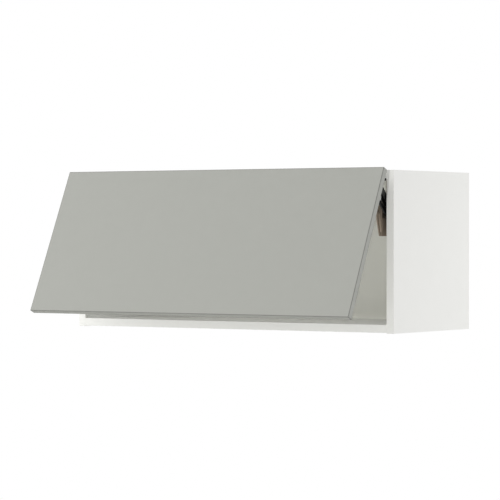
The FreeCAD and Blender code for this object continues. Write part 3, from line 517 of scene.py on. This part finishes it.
def seats(nodes, axis, facing, turn=STRAIGHT):
    """Where each solid of some nodes meets the eye: (place, direction, length) along one axis.

    facing is 1 or -1, or a function of the solid's middle that gives one of them."""
    found = []
    for node in nodes:
        for low, high in solids_of(node, turn):
            middle = (low + high) / 2
            sign = facing(middle) if callable(facing) else facing
            place = middle.copy()
            place[axis] = high[axis] if sign > 0 else low[axis]
            direction = Vector((0, 0, 0))
            direction[axis] = sign
            found.append((turn @ place, turn @ direction, high[axis] - low[axis]))
    return found


# Repeated fittings: a shape of unit radius and unit length, its outer face at z = 0 and facing +Z, is set on
# every place that the model has for it. These are the steps round a shape, round a wide shape, in one turn of
# a spring and round its wire, and the turns of a spring.
ROUND_STEPS = 40
WIDE_STEPS = 56
TURN_STEPS = 48
WIRE_STEPS = 14
SPRING_TURNS = 4.0


def start_tree(name, inputs):
    """An empty tree with named inputs: the tree, its sockets' identifiers and its input sockets."""
    tree = bpy.data.node_groups.new(name, "GeometryNodeTree")
    sockets = {}
    for label, kind in inputs:
        sockets[label] = tree.interface.new_socket(label, in_out="INPUT", socket_type=kind).identifier
    tree.interface.new_socket("Mesh", in_out="OUTPUT", socket_type="NodeSocketGeometry")
    return tree, sockets, add_node(tree, "NodeGroupInput", {}).outputs


def end_tree(tree, given, shape, scale=None):
    """Set a shape on each place, turned the place's way, make it real and give it its finish."""
    facing = add_node(
        tree, "GeometryNodeInputNamedAttribute", {"data_type": "FLOAT_VECTOR", "Name": "facing"},
    )
    turn = add_node(
        tree, "FunctionNodeAlignRotationToVector", {"axis": "Z"}, {"Vector": facing.outputs[0]},
    )
    links = {"Points": given["Places"], "Instance": shape, "Rotation": turn.outputs[0]}
    if scale:
        links["Scale"] = scale
    spread = add_node(tree, "GeometryNodeInstanceOnPoints", {}, links)
    real = add_node(tree, "GeometryNodeRealizeInstances", {}, {0: spread.outputs[0]})
    coat = add_node(
        tree, "GeometryNodeSetMaterial", {}, {"Geometry": real.outputs[0], "Material": given["Finish"]},
    )
    add_node(tree, "NodeGroupOutput", {}, {0: coat.outputs[0]})


def fittings_tree():
    """Tree that sets one turned shape on each place, to the place's own length and direction."""
    tree, sockets, given = start_tree("set_fittings", (
        ("Places", "NodeSocketGeometry"), ("Shape", "NodeSocketObject"),
        ("Radius", "NodeSocketFloat"), ("Finish", "NodeSocketMaterial"),
    ))
    span = add_node(tree, "GeometryNodeInputNamedAttribute", {"data_type": "FLOAT", "Name": "span"})
    size = add_node(
        tree, "ShaderNodeCombineXYZ", {}, {"X": given["Radius"], "Y": given["Radius"], "Z": span.outputs[0]},
    )
    shape = add_node(tree, "GeometryNodeObjectInfo", {}, {"Object": given["Shape"]})
    end_tree(tree, given, shape.outputs["Geometry"], size.outputs[0])
    return tree, sockets


def spring_tree():
    """Tree that winds a round wire about Z between two faces."""
    tree, sockets, given = start_tree("wind_spring", (
        ("Places", "NodeSocketGeometry"), ("Radius", "NodeSocketFloat"), ("Wire", "NodeSocketFloat"),
        ("Length", "NodeSocketFloat"), ("Turns", "NodeSocketFloat"), ("Finish", "NodeSocketMaterial"),
    ))
    path = add_node(tree, "GeometryNodeCurveSpiral", {"Resolution": TURN_STEPS}, {
        "Rotations": given["Turns"], "Start Radius": given["Radius"], "End Radius": given["Radius"],
        "Height": given["Length"],
    })
    section = add_node(
        tree, "GeometryNodeCurvePrimitiveCircle", {"Resolution": WIRE_STEPS}, {"Radius": given["Wire"]},
    )
    coil = add_node(
        tree, "GeometryNodeCurveToMesh", {"Fill Caps": True},
        {"Curve": path.outputs[0], "Profile Curve": section.outputs[0]},
    )
    end_tree(tree, given, coil.outputs[0])
    return tree, sockets


def turned(name, profile, steps=ROUND_STEPS, flute=0.0):
    """Closed shape turned about Z through (radius, z) points that start and end on the axis.

    A flute makes every other line along the widest part that much shallower."""
    shape = bmesh.new()
    rings = []
    for radius, z in profile:
        if radius == 0:
            rings.append([shape.verts.new((0, 0, z))])
            continue
        ring = []
        for k in range(steps):
            angle = 2 * math.pi * k / steps
            reach = radius * (1 - flute * (k % 2))
            ring.append(shape.verts.new((reach * math.cos(angle), reach * math.sin(angle), z)))
        rings.append(ring)
    for upper, lower in zip(rings, rings[1:]):
        for k in range(steps):
            corners = [upper[k % len(upper)], lower[k % len(lower)]]
            corners += [lower[(k + 1) % len(lower)], upper[(k + 1) % len(upper)]]
            shape.faces.new(list(dict.fromkeys(corners)))
    bmesh.ops.recalc_face_normals(shape, faces=shape.faces)
    mesh = bpy.data.meshes.new(name)
    shape.to_mesh(mesh)
    shape.free()
    return bpy.data.objects.new(name, mesh)


def with_recess(piece, reach, width, depth):
    """Cut a cross recess into the outer face of a turned shape."""
    cutter = bmesh.new()
    for across in ((reach, width), (width, reach)):
        size = Matrix.Diagonal((2 * across[0], 2 * across[1], 2 * depth, 1))
        bmesh.ops.create_cube(cutter, size=1.0, matrix=size)
    mesh = bpy.data.meshes.new("recess")
    cutter.to_mesh(mesh)
    cutter.free()
    tool = bpy.data.objects.new("recess", mesh)
    for obj in (piece, tool):
        bpy.context.scene.collection.objects.link(obj)
    cut = piece.modifiers.new("recess", "BOOLEAN")
    cut.operation = "DIFFERENCE"
    cut.solver = "EXACT"
    cut.use_self = True
    cut.object = tool
    graph = bpy.context.evaluated_depsgraph_get()
    done = bpy.data.meshes.new_from_object(piece.evaluated_get(graph))
    bpy.data.objects.remove(tool)
    piece.modifiers.clear()
    piece.data = done
    bpy.context.scene.collection.objects.unlink(piece)
    return piece


def grow(name, tree, sizes, places, body, slot, replaced, finish=None):
    """Run a tree on places and keep the result as one plain mesh on one body."""
    group, sockets = tree
    mesh = bpy.data.meshes.new(name)
    mesh.from_pydata([place for place, _, _ in places], [], [])
    mesh.attributes.new("facing", "FLOAT_VECTOR", "POINT")
    mesh.attributes.new("span", "FLOAT", "POINT")
    for i, (_, direction, extent) in enumerate(places):
        mesh.attributes["facing"].data[i].vector = direction
        mesh.attributes["span"].data[i].value = extent
    host = bpy.data.objects.new(name, mesh)
    bpy.context.scene.collection.objects.link(host)
    growth = host.modifiers.new("growth", "NODES")
    growth.node_group = group
    for label, value in sizes.items():
        growth[sockets[label]] = value
    growth[sockets["Finish"]] = FINISH[finish or slot]
    graph = bpy.context.evaluated_depsgraph_get()
    grown = bpy.data.meshes.new_from_object(host.evaluated_get(graph))
    bpy.data.objects.remove(host)
    if not grown.polygons:
        raise RuntimeError(f"{name}: the tree made no faces")
    grown.name = name
    for attribute in ("facing", "span"):
        if attribute in grown.attributes:
            grown.attributes.remove(grown.attributes[attribute])
    grown.shade_smooth()
    grown.set_sharp_from_angle(angle=TURNED_CREASE)
    return new_piece(name, grown, body, replaced)


def set_fittings(name, shape, radius, places, body, slot, replaced):
    """Set one turned shape on every place, as a piece that stands for some nodes."""
    grow(name, TREES["fittings"], {"Shape": shape, "Radius": radius}, places, body, slot, replaced)


# Profiles of the turned shapes, as shares of their radius and length
SCREW = [
    (0, 0), (0.7, 0), (0.9, -0.018), (1, -0.05), (1, -0.133), (0.5, -0.134), (0.5, -0.86), (0.05, -1),
    (0, -1),
]
CAM = [
    (0, 0), (0.92, 0), (1, -0.04), (1, -0.3), (0.8, -0.34), (0.8, -0.74), (1, -0.78), (1, -0.97),
    (0.95, -1), (0, -1),
]
PIN = [(0, 0), (0.8, 0), (1, -0.04), (1, -0.96), (0.8, -1), (0, -1)]
CAP = [
    (0, 0), (0.35, -0.008), (0.65, -0.04), (0.85, -0.1), (0.96, -0.19), (1, -0.28), (1, -0.333),
    (0.796, -0.334), (0.796, -1), (0.7, -1), (0.7, -0.42), (0, -0.42),
]
STOP = [
    (0, 0), (0.5, -0.012), (0.8, -0.05), (0.95, -0.11), (1, -0.18), (1, -0.5), (0.5, -0.501), (0.5, -1),
    (0, -1),
]
DOME = [(0, 0), (0.35, -0.06), (0.65, -0.22), (0.85, -0.46), (0.96, -0.72), (1, -1), (0, -1)]
DOWEL = [(0, 0), (0.8, 0), (1, -0.05), (1, -0.95), (0.8, -1), (0, -1)]
THREAD = [(0.8 + 0.2 * (i % 2), -0.73 - 0.025 * i) for i in range(10)]
BOLT = [
    (0, 0), (0.9, 0), (1, -0.03), (1, -0.1), (0.6, -0.12), (0.6, -0.2), (0.85, -0.22), (0.85, -0.68),
    (1, -0.7), *THREAD, (0.6, -1), (0, -1),
]

# Radii of the same shapes, as the model has them
SCREW_RADIUS = 4 * MM
CAM_RADIUS = 7.5 * MM
PIN_RADIUS = 3 * MM
CAP_RADIUS = 15 * MM
STOP_RADIUS = 2.5 * MM
DOME_RADIUS = 4.5 * MM
DOWEL_RADIUS = 4 * MM
BOLT_RADIUS = 3.5 * MM

# Cross recesses: the reach and half width of their arms as shares of the radius, and the depth in a cam lock
SCREW_REACH = 0.62
CAM_REACH = 0.6
RECESS_HALF_WIDTH = 0.13
CAM_RECESS = 2 * MM

# How much shallower every other line of a dowel is
FLUTE = 0.06

# Rib on the front of a housing: its upper and lower end, each as a way in from the side panel and a height
# above the housing's lowest edge, and its section's share of full size along its length
RIB_ENDS = ((23.7 * MM, 52.0 * MM), (18.6 * MM, 9.0 * MM))
RIB_SWELL = ((0.0, 0.3), (0.02, 0.75), (0.06, 1.0), (0.94, 1.0), (0.98, 0.75), (1.0, 0.3))
RIB_STEPS = 12


def housing_rib(side):
    """Half-round rib that slants from below the adjuster to the foot of a housing's front."""
    sizes = bpy.context.scene.cabinet_sizes
    low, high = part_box(f"{side}_lift_housing")
    panel, way_in = (low.x, 1) if side == "left" else (high.x, -1)
    upper, lower = [Vector((panel + way_in * across, low.y, low.z + up)) for across, up in RIB_ENDS]
    rib = bmesh.new()
    rings = []
    for along, swell in RIB_SWELL:
        ring = []
        for k in range(RIB_STEPS + 1):
            angle = math.pi * k / RIB_STEPS
            across = sizes.rib_width / 2 * math.cos(angle)
            out = Vector((across, -sizes.rib_height * math.sin(angle), 0))
            ring.append(rib.verts.new(upper.lerp(lower, along) + swell * out))
        rings.append(ring)
    for first, second in zip(rings, rings[1:]):
        for k in range(RIB_STEPS):
            rib.faces.new((first[k], first[k + 1], second[k + 1], second[k]))
        rib.faces.new((first[0], second[0], second[-1], first[-1]))
    for ring in (rings[0], rings[-1]):
        rib.faces.new(ring)
    bmesh.ops.recalc_face_normals(rib, faces=rib.faces)
    mesh = bpy.data.meshes.new(f"{side}_housing_rib")
    rib.to_mesh(mesh)
    rib.free()
    # The rib is coloured with the painted highlight.
    mesh.materials.append(FINISH["taupe_painted_highlight"])
    mesh.shade_smooth()
    mesh.set_sharp_from_angle(angle=RIB_CREASE)
    new_piece(f"{side}_housing_rib", mesh, "cabinet")


def inwards(middle):
    """Direction along X that leads to the middle of the cabinet."""
    return 1 if middle.x < 0 else -1


def outwards(middle):
    """Direction along Z that leads out of the top or the bottom of the cabinet."""
    return 1 if middle.z > CAD_BOX[0].z / 2 else -1


def both(name):
    """A node's names on the left and on the right."""
    return [f"{side}_{name}" for side in SIDES]


# Lamps: name, place, what it points at, width and height in metres, and power in watts. The first two are
# small and stand where the camera does and to its left, so that their shadows are mostly hidden. The one in
# the opening stands for the light that white panels throw about inside, and the others are soft.
AIM = (0.0, -0.3, -0.15)
LAMPS = (
    ("lamp_flash", (3.423, -5.474, -0.098), AIM, (0.15, 0.15), 21.5),
    ("lamp_beside", (2.0, -5.9, -0.1), AIM, (0.3, 0.3), 81.5),
    ("lamp_opening", (0.0, -0.36, -0.14), (0.0, 0.0, -0.14), (0.86, 0.32), 0.4),
    ("lamp_left", (-2.2, -2.2, 0.0), AIM, (1.5, 1.5), 10.5),
    ("lamp_left_end", (-2.3, -0.9, 0.7), AIM, (2.0, 2.0), 10.9),
    ("lamp_low", (-1.6, -2.6, -1.0), AIM, (1.5, 1.0), 4.9),
    ("lamp_high", (-1.6, -3.1, 3.7), AIM, (3.0, 3.0), 80.0),
    ("lamp_right", (1.9, 1.1, -0.1), AIM, (1.5, 1.5), 16.3),
)

# The photograph's camera: level to within half a degree, a long lens from the right
CAMERA_AIM = Vector((0.05792, -0.366, -0.14077))
CAMERA_AZIMUTH = math.radians(33.373)
CAMERA_PITCH = math.radians(0.397)
CAMERA_DISTANCE = 6.1168
CAMERA_LENS = 182.94
SENSOR = 36.0

# Light of the white surround, and half the width of the floor and its middle along Y, in metres
WORLD_LIGHT = 0.51
FLOOR_HALF = 1.5
FLOOR_MIDDLE = -0.25


def lay_floor(level):
    """Pale floor, wide enough for the shadow and out of the photograph's frame."""
    sheet = bmesh.new()
    bmesh.ops.create_grid(sheet, x_segments=1, y_segments=1, size=FLOOR_HALF)
    bmesh.ops.translate(sheet, verts=sheet.verts, vec=(0, FLOOR_MIDDLE, level))
    mesh = bpy.data.meshes.new("floor")
    sheet.to_mesh(mesh)
    sheet.free()
    floor = bpy.data.objects.new("floor", mesh)
    bpy.context.scene.collection.objects.link(floor)
    material, tree, shader, place = start_material("painted_floor_pale")
    paint = mottle(tree, place, linear("#F2F2F0"), spread=0.004, size=400)
    tree.links.new(paint, shader.inputs["Base Color"])
    shader.inputs["Roughness"].default_value = 0.9
    mesh.materials.append(material)


def light_world(scene):
    """Even white surround: what the eye sees of it is plain white, and its light is softer."""
    world = bpy.data.worlds.new("white_surround")
    world.use_nodes = True
    tree = world.node_tree
    tree.nodes.clear()
    path = add_node(tree, "ShaderNodeLightPath", {})
    level = add_node(
        tree, "ShaderNodeMapRange", {"To Min": WORLD_LIGHT, "To Max": 1.0},
        {"Value": path.outputs["Is Camera Ray"]},
    )
    light = add_node(tree, "ShaderNodeBackground", {"Color": (1, 1, 1, 1)}, {"Strength": level.outputs[0]})
    add_node(tree, "ShaderNodeOutputWorld", {}, {0: light.outputs[0]})
    scene.world = world


def hang_lamp(name, place, aim, size, power):
    """Area lamp that the camera does not see."""
    lamp = bpy.data.lights.new(name, "AREA")
    lamp.shape = "RECTANGLE"
    lamp.size, lamp.size_y = size
    lamp.energy = power
    holder = bpy.data.objects.new(name, lamp)
    holder.location = place
    holder.rotation_euler = (aim - place).to_track_quat("-Z", "Y").to_euler()
    holder.visible_camera = False
    bpy.context.scene.collection.objects.link(holder)


def set_camera(scene):
    """Set up the photograph's camera."""
    lens = bpy.data.cameras.new("photo_camera")
    lens.sensor_width = SENSOR
    lens.lens = CAMERA_LENS
    ahead = Vector((
        -math.sin(CAMERA_AZIMUTH) * math.cos(CAMERA_PITCH),
        math.cos(CAMERA_AZIMUTH) * math.cos(CAMERA_PITCH),
        -math.sin(CAMERA_PITCH),
    ))
    camera = bpy.data.objects.new("photo_camera", lens)
    camera.location = CAMERA_AIM - ahead * CAMERA_DISTANCE
    camera.rotation_euler = ahead.to_track_quat("-Z", "Y").to_euler()
    scene.collection.objects.link(camera)
    scene.camera = camera


class CABINET_OT_carcass(bpy.types.Operator):
    """Face the sides, the top, the bottom and the back"""

    bl_idname = "cabinet.carcass"
    bl_label = "Carcass panels"

    def execute(self, context):
        for node in both("side_panel") + ["top_panel", "bottom_panel"]:
            dress(node, "white_panel")
        dress("back_panel", "back_board")
        return {"FINISHED"}


class CABINET_OT_edge_strips(bpy.types.Operator):
    """Lay the front edge strips, with their long edges rounded"""

    bl_idname = "cabinet.edge_strips"
    bl_label = "Edge strips"

    def execute(self, context):
        radius = context.scene.cabinet_sizes.strip_round
        for name in both("side_edge_strip"):
            eased(f"{name}_band", name, "cabinet", "edge_strip", radius)
        for name in ("top_edge_strip", "bottom_edge_strip"):
            eased(f"{name}_band", name, "cabinet", "edge_strip", radius, "edge_strip_level")
        return {"FINISHED"}


class CABINET_OT_door(bpy.types.Operator):
    """Finish the door slab and its closing buffers"""

    bl_idname = "cabinet.door"
    bl_label = "Door"

    def execute(self, context):
        dress("door_panel", "grey_door")
        set_fittings(
            "door_buffer_domes", turned("dome", DOME), DOME_RADIUS,
            seats(["door_buffers"], Y, 1, DOOR_TURN), "door", "clear_rubber", ["door_buffers"],
        )
        return {"FINISHED"}


class CABINET_OT_lift(bpy.types.Operator):
    """Finish the plates, levers, arms, links, brackets and housings of the lift mechanism"""

    bl_idname = "cabinet.lift"
    bl_label = "Lift mechanism"

    def execute(self, context):
        sizes = context.scene.cabinet_sizes
        stamped = (
            ("lift_base_plate", "plate", "cabinet", "zinc_steel", None),
            ("lift_lever", "lever_stamping", "levers", "black_steel", "black_arris"),
            ("lift_arm", "arm_pressing", "arms", "black_steel", "black_arris"),
            ("lift_link", "link_stamping", "links", "black_steel", "black_arris"),
            ("door_bracket", "bracket_pressing", "door", "zinc_steel", None),
        )
        for side in SIDES:
            for node, name, body, slot, arris in stamped:
                eased(f"{side}_{name}", f"{side}_{node}", body, slot, sizes.sheet_round, arris=arris)
            # The housing's rounded edges carry the painted highlight.
            eased(
                f"{side}_housing_shell", f"{side}_lift_housing", "cabinet", "taupe_plastic",
                sizes.shell_round, arris="taupe_painted_highlight",
            )
            housing_rib(side)
            dress(f"{side}_cam_roller", "black_plastic")
            dress(f"{side}_tension_adjuster", "taupe_plastic")
            dress(f"{side}_pivot_pin", "zinc_steel")
        return {"FINISHED"}


class CABINET_OT_pins(bpy.types.Operator):
    """Set the pins of the levers and of the door brackets"""

    bl_idname = "cabinet.pins"
    bl_label = "Pins"

    def execute(self, context):
        for name, body in (("lever_pins", "levers"), ("door_pins", "door")):
            set_fittings(
                f"{name}_turned", turned("pin", PIN), PIN_RADIUS,
                seats(both(name), X, 1), body, "zinc_steel", both(name),
            )
        return {"FINISHED"}


class CABINET_OT_springs(bpy.types.Operator):
    """Wind the lift springs"""

    bl_idname = "cabinet.springs"
    bl_label = "Lift springs"

    def execute(self, context):
        wire = context.scene.cabinet_sizes.spring_wire
        for side in SIDES:
            node = f"{side}_lift_spring"
            low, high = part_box(node)
            middle = (low + high) / 2
            radius = (high.z - low.z) / 2 - wire
            start = Vector((low.x + wire, middle.y, middle.z))
            winding = {
                "Radius": radius, "Wire": wire, "Length": high.x - low.x - 2 * wire, "Turns": SPRING_TURNS,
            }
            grow(
                f"{side}_spring_coil", TREES["spring"], winding,
                [(start, Vector((1, 0, 0)), 1.0)], "cabinet", "zinc_steel", [node], "spring_steel",
            )
        return {"FINISHED"}


class CABINET_OT_screws(bpy.types.Operator):
    """Drive the screws of the hangers, the base plates and the door brackets"""

    bl_idname = "cabinet.screws"
    bl_label = "Screws"

    def execute(self, context):
        recess = context.scene.cabinet_sizes.recess
        fixed = both("base_screws") + ["hanger_screws"]
        moving = both("bracket_screws")
        for name, nodes, axis, facing, turn, body in (
            ("carcass_screws", fixed, X, inwards, STRAIGHT, "cabinet"),
            ("door_screws", moving, Y, 1, DOOR_TURN, "door"),
        ):
            places = seats(nodes, axis, facing, turn)
            depth = recess / places[0][2]
            shape = with_recess(turned("screw", SCREW), SCREW_REACH, RECESS_HALF_WIDTH, depth)
            set_fittings(name, shape, SCREW_RADIUS, places, body, "zinc_steel", nodes)
        return {"FINISHED"}


class CABINET_OT_knock_down(bpy.types.Operator):
    """Set the cam locks, cam bolts and dowels that join the panels"""

    bl_idname = "cabinet.knock_down"
    bl_label = "Panel fittings"

    def execute(self, context):
        locks = seats(["cam_locks"], Z, outwards)
        cam = with_recess(turned("cam", CAM), CAM_REACH, RECESS_HALF_WIDTH, CAM_RECESS / locks[0][2])
        set_fittings("cam_lock_drums", cam, CAM_RADIUS, locks, "cabinet", "zinc_casting", ["cam_locks"])
        bolts = seats(["cam_bolts"], X, inwards)
        stud = turned("bolt", BOLT)
        set_fittings("cam_bolt_studs", stud, BOLT_RADIUS, bolts, "cabinet", "zinc_steel", ["cam_bolts"])
        flutes = context.scene.cabinet_sizes.flute_count
        dowel = turned("dowel", DOWEL, steps=2 * flutes, flute=FLUTE)
        dowels = seats(["wooden_dowels"], X, inwards)
        set_fittings("fluted_dowels", dowel, DOWEL_RADIUS, dowels, "cabinet", "beech", ["wooden_dowels"])
        return {"FINISHED"}


class CABINET_OT_hanging(bpy.types.Operator):
    """Finish the wall hangers, the caps over them and the stop buffers"""

    bl_idname = "cabinet.hanging"
    bl_label = "Hangers and caps"

    def execute(self, context):
        for side in SIDES:
            eased(
                f"{side}_hanger_pressing", f"{side}_wall_hanger", "cabinet", "zinc_steel",
                context.scene.cabinet_sizes.sheet_round,
            )
        set_fittings(
            "access_cap_domes", turned("cap", CAP, WIDE_STEPS), CAP_RADIUS,
            seats(["access_caps"], Y, -1), "cabinet", "white_plastic", ["access_caps"],
        )
        set_fittings(
            "stop_buffer_nubs", turned("stop", STOP), STOP_RADIUS,
            seats(["stop_buffers"], Z, -1), "cabinet", "black_plastic", ["stop_buffers"],
        )
        return {"FINISHED"}


class CABINET_OT_stage(bpy.types.Operator):
    """Lay the floor, hang the lights and set the camera"""

    bl_idname = "cabinet.stage"
    bl_label = "Stage"

    def execute(self, context):
        scene = context.scene
        scene.view_settings.view_transform = "Standard"
        lay_floor(CAD_BOX[0].z - scene.cabinet_sizes.floor_drop)
        light_world(scene)
        for name, place, aim, size, power in LAMPS:
            hang_lamp(name, Vector(place), Vector(aim), size, power)
        set_camera(scene)
        return {"FINISHED"}


STEPS = (
    CABINET_OT_carcass,
    CABINET_OT_edge_strips,
    CABINET_OT_door,
    CABINET_OT_lift,
    CABINET_OT_pins,
    CABINET_OT_springs,
    CABINET_OT_screws,
    CABINET_OT_knock_down,
    CABINET_OT_hanging,
    CABINET_OT_stage,
)


class CABINET_PT_pieces(bpy.types.Panel):
    """Lists the cabinet's pieces with their colours and sizes"""

    bl_idname = "CABINET_PT_pieces"
    bl_label = "Wall Cabinet"
    bl_space_type = "VIEW_3D"
    bl_region_type = "UI"
    bl_category = "Wall Cabinet"

    def draw(self, context):
        for step in STEPS:
            self.layout.operator(step.bl_idname)
        for group in (context.scene.cabinet_colours, context.scene.cabinet_sizes):
            box = self.layout.box()
            for name in group.bl_rna.properties.keys():
                if name not in ("rna_type", "name"):
                    box.prop(group, name)


CLASSES = (CabinetColours, CabinetSizes, *STEPS, CABINET_PT_pieces)


def register():
    for item in CLASSES:
        bpy.utils.register_class(item)
    bpy.types.Scene.cabinet_colours = PointerProperty(type=CabinetColours)
    bpy.types.Scene.cabinet_sizes = PointerProperty(type=CabinetSizes)


def unregister():
    del bpy.types.Scene.cabinet_sizes
    del bpy.types.Scene.cabinet_colours
    for item in reversed(CLASSES):
        bpy.utils.unregister_class(item)


def main():
    register()
    FINISH.update(finishes())
    TREES.update(fittings=fittings_tree(), spring=spring_tree())
    for step in STEPS:
        group, name = step.bl_idname.split(".")
        getattr(getattr(bpy.ops, group), name)()


if __name__ == "__main__":
    main()
